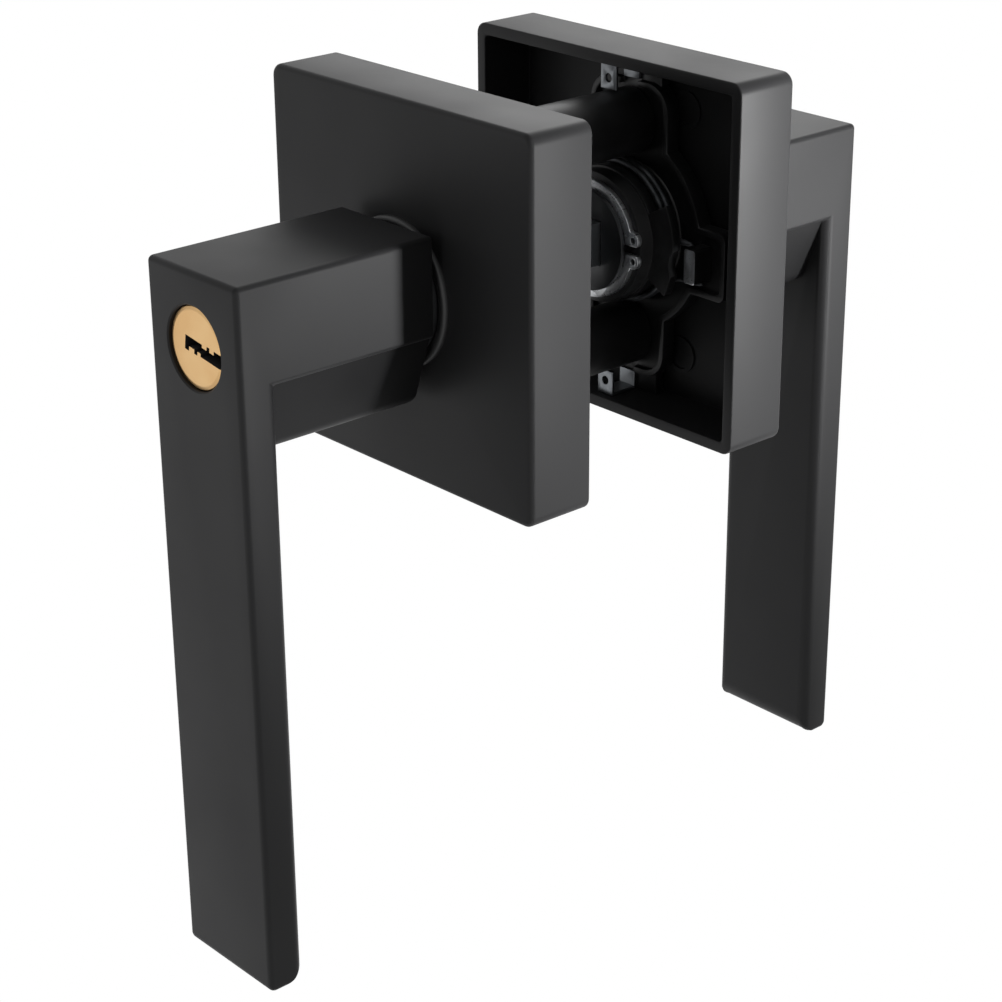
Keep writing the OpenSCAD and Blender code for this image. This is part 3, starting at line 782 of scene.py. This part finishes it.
@dataclass(frozen=True)
class Lever:
    """A straight lever: neck bar, flat grip and the key cylinder's housing, cast in one."""

    side: Side
    bottom: float = -4.75
    grip: float = 7.3
    heel: float = 4.5
    toe: float = 1.6
    back: float = 2.0
    edge: float = 1.0
    keel_top: float = 10.8
    keel_bottom: float = 6.2
    keel_depth: float = 18.2
    keel_radius: float = 2.6
    keel_end: float = 2.0
    keel_root: float = 3.0
    keel_set_back: float = 0.05
    mouth: float = 10.4
    mouth_depth: float = 4.0
    slot: tuple[float, float] = (4.35, 15.45)
    pocket: float = 8.87
    front_wall: float = 2.2
    plug_gap: float = 0.12
    plug_hole_chamfer: float = 0.25
    button_seat: float = 1.2
    button_web: float = 2.6
    button_gap: float = 0.3
    button_hole_chamfer: float = 0.2
    stem_hole: float = 3.57
    grub_radius: float = 1.23
    grub_length: float = 5.0
    grub_middle: float = 1.5
    shade_edge: float = 0.05

    def build(self) -> None:
        """Models the casting from a plate: its neck is extruded, its housing welded on, its holes cut."""
        name = f"{self.side.prefix}_lever"
        neck_o, front_o = reach(name)
        lever = self.bar(box_mm(name), at(self.side, neck_o), at(self.side, front_o))
        Bench.solid(lever, "UNION", self.keel(neck_o, front_o - self.grip))
        Bench.solid(lever, "DIFFERENCE", *self.openings(neck_o, front_o))
        Bench.smooth(lever)
        put(lever, COAT, name, name)
        # Painted shade: the housing's faces under the neck get the darker coat
        low = self.bottom - 2 * self.shade_edge
        back = abs(at(self.side, front_o - self.grip)) - self.shade_edge
        wide = self.keel_top + self.shade_edge
        repaint(lever, SHADED_COAT, lambda m, n: m.z < low and abs(m.y) < back and abs(m.x) < wide)

    def bar(self, box: tuple[Vector, Vector], neck_end: float, front: float) -> bpy.types.Object:
        """Makes the neck and the grip as one rounded bar with an elbow.

        Args:
            box: the lever's CAD box in mm.
            neck_end: Y of the neck's free end in mm.
            front: Y of the grip's front in mm.

        Returns:
            The bar.
        """
        low, high = box
        half, top, end = high.x, high.z, low.z
        back = front - self.side.value * self.grip
        bar = Bench.box(f"{self.side.prefix}_lever_casting", (-half, front, end), (half, back, top))
        Bench.select(bar, "FACE", lambda m, f: True)
        bpy.ops.mesh.bisect(plane_co=(0, 0, self.bottom * MM), plane_no=(0, 0, 1))
        Bench.done()
        inward = -self.side.value
        Bench.select(bar, "FACE", lambda m, f: f.normal.y * inward > 0.9 and f.center.z > self.bottom * MM)
        bpy.ops.mesh.extrude_region_move(TRANSFORM_OT_translate={"value": (0, (neck_end - back) * MM, 0)})
        Bench.done()
        Bench.tidy(bar)
        Bench.round_edges(
            bar, 8,
            (self.heel, both(along(0), lies(z=end, y=back))),
            (self.toe, both(along(0), lies(z=end, y=front))),
            (self.back, both(along(2), lies(y=back), below(self.bottom))),
            (self.edge, both(along(2), lies(y=front))),
            (self.edge, both(along(0), lies(y=front, z=top))),
            (self.edge, both(along(1), lies(z=top))),
            (self.edge, both(along(1), lies(z=end))),
            (self.edge, both(along(1), lies(z=self.bottom))),
            (self.edge, both(along(0), lies(y=back, z=self.bottom))),
            (self.edge / 2, lies(y=neck_end)),
        )
        return bar

    def keel(self, neck_o: float, back_o: float) -> bpy.types.Object:
        """Makes the housing under the neck: tapered downwards, round at its bottom and free end.

        Args:
            neck_o: the neck's free end, from the door face in mm.
            back_o: the grip's back, from the door face in mm.

        Returns:
            The housing.
        """
        start, low = at(self.side, neck_o + self.keel_set_back), -self.keel_depth
        root = at(self.side, back_o + OVERLAP)
        keel = Bench.box("keel", (-self.keel_top, start, low), (self.keel_top, root, self.bottom))
        Bench.select(keel, "FACE", lambda m, f: f.normal.z < -0.9)
        share = self.keel_bottom / self.keel_top
        bpy.ops.transform.resize(value=(share, 1, 1), center_override=(0, 0, 0))
        Bench.done()
        Bench.select(keel, "FACE", lambda m, f: f.normal.z > 0.9)
        bpy.ops.mesh.extrude_region_move(TRANSFORM_OT_translate={"value": (0, 0, self.keel_root * MM)})
        Bench.done()
        Bench.round_edges(
            keel, 8,
            (self.keel_radius, both(along(1), lies(z=low))),
            (self.keel_end, lies(y=start, z=low)),
        )
        return keel

    def openings(self, neck_o: float, front_o: float) -> list[bpy.types.Object]:
        """Makes the cutters for the mouth, the cylinder's pocket, and the hole in the front.

        Args:
            neck_o: the neck's free end, from the door face in mm.
            front_o: the grip's front, from the door face in mm.

        Returns:
            The cutters.
        """
        side = self.side
        floor_o = neck_o + self.mouth_depth
        half, depth = self.slot
        tools = [
            Bench.rod("mouth", at(side, neck_o - OVERLAP), at(side, floor_o), self.mouth),
            Bench.box("slot", (-half, at(side, neck_o - OVERLAP), -depth), (half, at(side, floor_o), 0)),
            self.grub_hole(neck_o),
        ]
        if side is Side.OUTSIDE:
            wall_o = front_o - self.front_wall
            hole = box_mm("key_plug")[1].x + self.plug_gap
            tools += [
                Bench.rod("pocket", at(side, neck_o), at(side, wall_o), self.pocket),
                Bench.box("pin_pocket", (-half, at(side, neck_o), -depth), (half, at(side, wall_o), 0)),
                Bench.drill(side, wall_o - OVERLAP, front_o, hole, self.plug_hole_chamfer),
            ]
        else:
            seat_o = front_o - self.button_seat
            web_o = seat_o - self.button_web
            disc = box_mm("turn_button")[1].x + self.button_gap
            tools += [
                Bench.rod("pocket", at(side, neck_o), at(side, web_o), self.pocket),
                Bench.rod("stem_hole", at(side, web_o - OVERLAP), at(side, front_o), self.stem_hole),
                Bench.drill(side, seat_o, front_o, disc, self.button_hole_chamfer),
            ]
        return tools

    def grub_hole(self, neck_o: float) -> bpy.types.Object:
        """Makes the cutter for the grub screw's hole, from below.

        Args:
            neck_o: the neck's free end, from the door face in mm.

        Returns:
            The cutter.
        """
        Bench.pick()
        y, z = at(self.side, neck_o + self.mouth_depth / 2), self.grub_middle - self.keel_depth
        bpy.ops.mesh.primitive_cylinder_add(
            vertices=48, radius=self.grub_radius * MM, depth=self.grub_length * MM,
            location=(0, y * MM, z * MM),
        )
        return Bench.settle("grub_hole")


@dataclass(frozen=True)
class Bearing:
    """What turns the lever in its rose: bush, shank, cam, snap ring, spring and stop lugs."""

    side: Side
    bore: float = 11.27
    collar: float = 0.63
    collar_height: float = 1.0
    lip: float = 0.3

    def build(self) -> None:
        """Turns the bush on the lathe and finishes the cast, pressed and wound pieces."""
        prefix, side = self.side.prefix, self.side
        back_o, top_o = reach(f"{prefix}_bush")
        collar, lip = box_mm(f"{prefix}_bush")[1].x, self.lip
        outer, face_o = collar - self.collar, top_o - self.collar_height
        bush = Bench.turn(f"{prefix}_bush_ring", side, [
            (self.bore + lip, back_o), (outer - lip, back_o), (outer, back_o + lip), (outer, face_o),
            (collar, face_o), (collar, top_o - lip), (collar - lip, top_o), (self.bore + lip, top_o),
            (self.bore, top_o - lip), (self.bore, back_o + lip),
        ])
        Bench.smooth(bush, 50)
        put(bush, NYLON, "chassis", f"{prefix}_bush")
        lever = f"{prefix}_lever"
        refine(f"{prefix}_shank", lever, ZINC, Edge.CAST)
        refine(f"{prefix}_cam", lever, OXIDE, Edge.PRESSED, clamp=True)
        refine(f"{prefix}_snap_ring", lever, PLATED, Edge.PRESSED)
        refine(f"{prefix}_grub_screw", lever, OXIDE, Edge.SCREW)
        lugs = refine(f"{prefix}_stop_lugs", "chassis", PLATED, Edge.LUG)
        repaint(lugs, OXIDE, lambda m, n: abs(n.y) < 0.5)
        refine(f"{prefix}_mounting_plate", "chassis", OXIDE, Edge.CAST)
        refine(f"{prefix}_cover_clips", "chassis", CLIP_STEEL, Edge.STRIP)
        self.wound(f"{prefix}_return_spring", "chassis")

    @staticmethod
    def wound(node: str, body: str) -> None:
        """Rounds the few flat sides of a wire's CAD copy by one step of subdivision.

        Args:
            node: the wire's CAD node.
            body: the body that carries it.
        """
        piece = copy_of(node)
        step = piece.modifiers.new("round_wire", "SUBSURF")
        step.levels = 1
        Bench.pick(piece)
        bpy.ops.object.modifier_apply(modifier=step.name)
        Bench.smooth(piece, 60)
        put(piece, SPRING, body, node)


@dataclass(frozen=True)
class Fixings:
    """The posts and screws that clamp the two halves on the door, and the spindle between them."""

    def build(self) -> None:
        """Finishes the posts, screws and spindle."""
        refine("screw_posts", "chassis", OXIDE, Edge.DRAWN, 3)
        refine("mounting_screws", "chassis", PLATED, Edge.PIN)
        refine("square_spindle", "outside_lever", CLIP_STEEL, Edge.DRAWN, 3)


@dataclass(frozen=True)
class Lock:
    """The key cylinder in the outside lever and the turn button in the inside one."""

    bore_depth: float = 0.35
    rim_width: float = 0.6
    face_depth: float = 2.4
    ring: tuple[float, float] = (0.75, 0.2)
    ring_height: tuple[float, float] = (0.16, 0.35)
    keyway_tilt: float = 8.5
    wards: tuple[tuple[float, float, float, float], ...] = (
        (-3.0, 1.45, -0.45, 1.25), (1.2, 8.0, -1.0, 0.72), (2.7, 3.45, 0.5, 1.45),
        (4.6, 8.0, 0.5, 1.4), (-0.5, 0.35, -1.15, 0.0), (-3.0, -1.9, -1.25, 0.0),
    )

    def build(self) -> None:
        """Finishes the cylinder, its pins, the tail bar and the button."""
        refine("cylinder_body", "outside_lever", BRASS, Edge.PRESSED)
        refine("chamber_cover", "outside_lever", BRASS, Edge.STRIP)
        refine("driver_pins", "outside_lever", PLATED, Edge.PIN)
        Bearing.wound("pin_springs", "outside_lever")
        self.key_plug()
        refine("key_pins", "key_plug", BRASS, Edge.PIN)
        refine("plug_clip", "key_plug", CLIP_STEEL, Edge.STRIP)
        refine("tail_bar", "key_plug", PLATED, Edge.PRESSED)
        refine("turn_button", "turn_button", COAT, Edge.MOULDED, 4)
        refine("button_clip", "turn_button", CLIP_STEEL, Edge.STRIP)

    def key_plug(self) -> None:
        """Saws the plug's front off and welds on a new one, whose keyway has finer wards."""
        front, radius = reach("key_plug")[1], box_mm("key_plug")[1].x
        joint = front - self.face_depth
        plug = copy_of("key_plug")
        cut, out = at(Side.OUTSIDE, joint), at(Side.OUTSIDE, front + OVERLAP)
        Bench.solid(plug, "DIFFERENCE", Bench.rod("sawn_off", cut, out, radius + OVERLAP))
        Bench.solid(plug, "UNION", self.plug_front(joint, front, radius))
        Bench.smooth(plug, 12)
        put(plug, BRASS, "key_plug", "key_plug")
        # Painted shade: the keyway's walls and floor below the face are near black
        face, inner = abs(at(Side.OUTSIDE, front)) - self.bore_depth, radius - self.rim_width
        repaint(plug, KEYWAY_SHADE, lambda m, n: math.hypot(m.x, m.z) < inner and abs(m.y) < face)

    def plug_front(self, joint: float, front: float, radius: float) -> bpy.types.Object:
        """Turns the plug's front and cuts its keyway through.

        Args:
            joint: distance of its back from the door face, in mm.
            front: distance of its face from the door face, in mm.
            radius: its radius in mm.

        Returns:
            The front, which has a shallow ring round its face.
        """
        (inside, outside), (shallow, steep) = self.ring, self.ring_height
        disc = Bench.turn("plug_front", Side.OUTSIDE, [
            (0, joint), (radius, joint), (radius, front - steep), (radius - outside, front - shallow),
            (radius - inside, front), (0, front),
        ])
        back, out = at(Side.OUTSIDE, joint - OVERLAP), at(Side.OUTSIDE, front + OVERLAP)
        for x0, x1, z0, z1 in self.wards:
            ward = Bench.box("ward", (x0, back, z0), (x1, out, z1))
            ward.rotation_euler.y = math.radians(self.keyway_tilt)
            Bench.solid(disc, "DIFFERENCE", ward)
        return disc


@dataclass(frozen=True)
class Camera:
    """The photograph's viewpoint, fitted to the edges of the roses and levers."""

    place: Point = (307.46, -279.90, 132.86)
    turn: Point = (66.599, 0.374, 48.281)
    lens: float = 89.1

    def build(self) -> None:
        """Adds the camera and makes it the scene's own."""
        Bench.pick()
        turn = [math.radians(angle) for angle in self.turn]
        bpy.ops.object.camera_add(location=Vector(self.place) * MM, rotation=turn)
        camera = bpy.context.active_object
        camera.name = "photo_camera"
        camera.data.lens = self.lens
        camera.data.sensor_width = 36.0
        camera.data.clip_start = 0.01
        bpy.context.scene.camera = camera


@dataclass(frozen=True)
class Lamp:
    """A soft box that looks at a point of the set."""

    name: str
    place: Point
    size: tuple[float, float]
    watts: float
    aim: Point = (0, 0, -20)
    spread: float = 180.0

    def build(self) -> None:
        """Adds the lamp and turns it towards its aim."""
        Bench.pick()
        place = Vector(self.place) * MM
        bpy.ops.object.light_add(type="AREA", location=place)
        lamp = bpy.context.active_object
        lamp.name = self.name
        lamp.data.shape = "RECTANGLE"
        lamp.data.size, lamp.data.size_y = (s * MM for s in self.size)
        lamp.data.energy = self.watts
        lamp.data.spread = math.radians(self.spread)
        lamp.rotation_euler = (Vector(self.aim) * MM - place).to_track_quat("-Z", "Y").to_euler()


class Studio:
    """A white sweep, an even surround and the soft boxes."""

    LAMPS = (
        Lamp("right_key", (760, 360, -70), (150, 150), 0.18, (33, 43, 26), 12),
        Lamp("left_back_box", (-500, 600, 500), (400, 400), 2.2),
        Lamp("front_left_box", (-550, -600, -300), (400, 400), 0.4),
        Lamp("front_low_box", (0, -700, -300), (400, 400), 1.0),
    )
    FLOOR_Z = -330.0
    SURROUND = 0.03

    def build(self) -> None:
        """Adds the floor, the surround and the lamps."""
        Bench.pick()
        bpy.ops.mesh.primitive_plane_add(size=12, location=(0, 0, self.FLOOR_Z * MM))
        floor = Bench.settle("studio_floor")
        floor.data.materials.append(self.paper())
        self.surround()
        for lamp in self.LAMPS:
            lamp.build()

    def paper(self) -> bpy.types.Material:
        """Makes matt grey paper that the camera, metal and glass see as white.

        Returns:
            The material.
        """
        made = bpy.data.materials.new("white_paper")
        made.use_nodes = True
        tree = made.node_tree
        tree.nodes.clear()
        paper = add_node(tree, "ShaderNodeBsdfDiffuse", {"Color": linear("#c8c8c8")})
        white = add_node(tree, "ShaderNodeEmission", {"Color": (1, 1, 1, 1), "Strength": 1.0})
        mix = add_node(tree, "ShaderNodeMixShader", {
            0: self.seen(tree), 1: paper.outputs[0], 2: white.outputs[0],
        })
        output = add_node(tree, "ShaderNodeOutputMaterial")
        tree.links.new(mix.outputs[0], output.inputs["Surface"])
        return made

    @staticmethod
    def seen(tree: bpy.types.NodeTree) -> bpy.types.NodeSocket:
        """Picks out the rays that see white: those of camera, gloss and transmission.

        Args:
            tree: the node tree.

        Returns:
            A socket that is 1 for those rays.
        """
        path = add_node(tree, "ShaderNodeLightPath")
        first = add_node(tree, "ShaderNodeMath", {
            0: path.outputs["Is Camera Ray"], 1: path.outputs["Is Transmission Ray"],
        }, operation="MAXIMUM")
        second = add_node(tree, "ShaderNodeMath", {
            0: first.outputs[0], 1: path.outputs["Is Glossy Ray"],
        }, operation="MAXIMUM")
        return second.outputs[0]

    def surround(self) -> None:
        """Gives the world a plain level, and white where the camera looks past the floor."""
        world = bpy.data.worlds.new("studio_surround")
        world.use_nodes = True
        tree = world.node_tree
        tree.nodes.clear()
        level = add_node(tree, "ShaderNodeBackground", {"Color": (1, 1, 1, 1), "Strength": self.SURROUND})
        white = add_node(tree, "ShaderNodeBackground", {"Color": (1, 1, 1, 1), "Strength": 1.0})
        mix = add_node(tree, "ShaderNodeMixShader", {
            0: self.seen(tree), 1: level.outputs[0], 2: white.outputs[0],
        })
        output = add_node(tree, "ShaderNodeOutputWorld")
        tree.links.new(mix.outputs[0], output.inputs["Surface"])
        bpy.context.scene.world = world


def main() -> None:
    """Builds the set, half by half, then its studio."""
    logging.basicConfig(level=logging.INFO, format="%(name)s: %(message)s")
    Camera().build()
    for side in Side:
        Rose(side).build()
        Lever(side).build()
        Bearing(side).build()
    Fixings().build()
    Lock().build()
    Studio().build()
    bpy.context.scene.view_settings.view_transform = "Standard"


if __name__ == "__main__":
    main()
